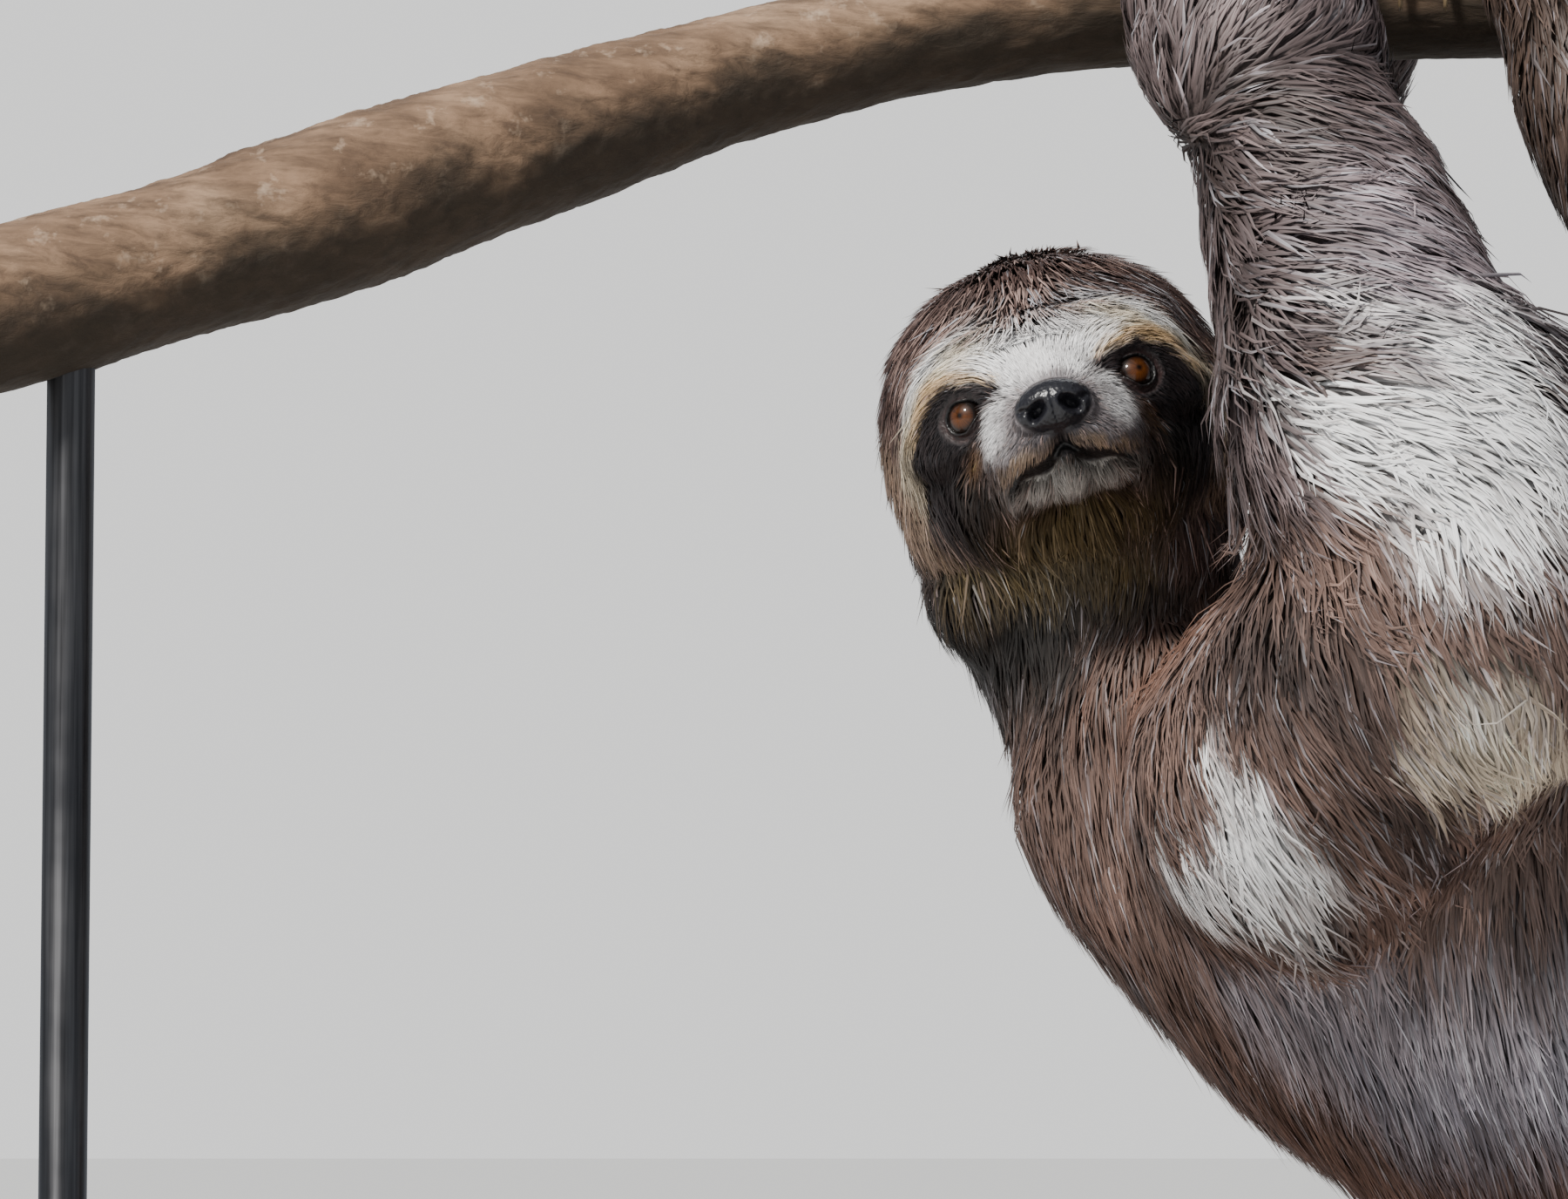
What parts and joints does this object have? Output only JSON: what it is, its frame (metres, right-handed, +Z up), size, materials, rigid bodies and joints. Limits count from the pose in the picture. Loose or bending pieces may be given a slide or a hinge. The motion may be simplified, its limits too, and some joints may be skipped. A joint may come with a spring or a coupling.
{
  "type": "three-toed sloth model",
  "caption": "Life-size three-toed sloth, a still museum-type model, hanging by its claws under a cut length of branch on a plain display stand.",
  "frame": {"origin": "middle of the flat underside of the stand's base", "axes": "+Z up; +X along the base towards the animal's rump, so the head is towards -X; +Y towards the animal's left side, so its face and right side look to -Y"},
  "size_m": [0.8, 0.3, 0.5256],
  "materials": {
    "coat": "long coarse hair, grey-brown with cream and dark-brown markings",
    "nose_skin": "moist dark skin",
    "eye": "glossy",
    "claw": "worn horn",
    "bark": "rough bark",
    "base_wood": "satin varnish",
    "rod_metal": "satin black"
  },
  "bodies": {
    "root": {"head": "coat", "neck": "coat", "trunk": "coat", "tail": "coat", "upper_arm_right": "coat", "upper_arm_left": "coat", "forearm_right": "coat", "forearm_left": "coat", "hand_right": "coat", "hand_left": "coat", "thigh_right": "coat", "thigh_left": "coat", "shin_right": "coat", "shin_left": "coat", "foot_right": "coat", "foot_left": "coat", "nose": "nose_skin", "eye_right": "eye", "eye_left": "eye", "claw_hand_right_1": "claw", "claw_hand_right_2": "claw", "claw_hand_right_3": "claw", "claw_hand_left_1": "claw", "claw_hand_left_2": "claw", "claw_hand_left_3": "claw", "claw_foot_right_1": "claw", "claw_foot_right_2": "claw", "claw_foot_right_3": "claw", "claw_foot_left_1": "claw", "claw_foot_left_2": "claw", "claw_foot_left_3": "claw", "branch": "bark", "stand_base": "base_wood", "stand_rod_left": "rod_metal", "stand_rod_right": "rod_metal"}
  },
  "joints": []
}
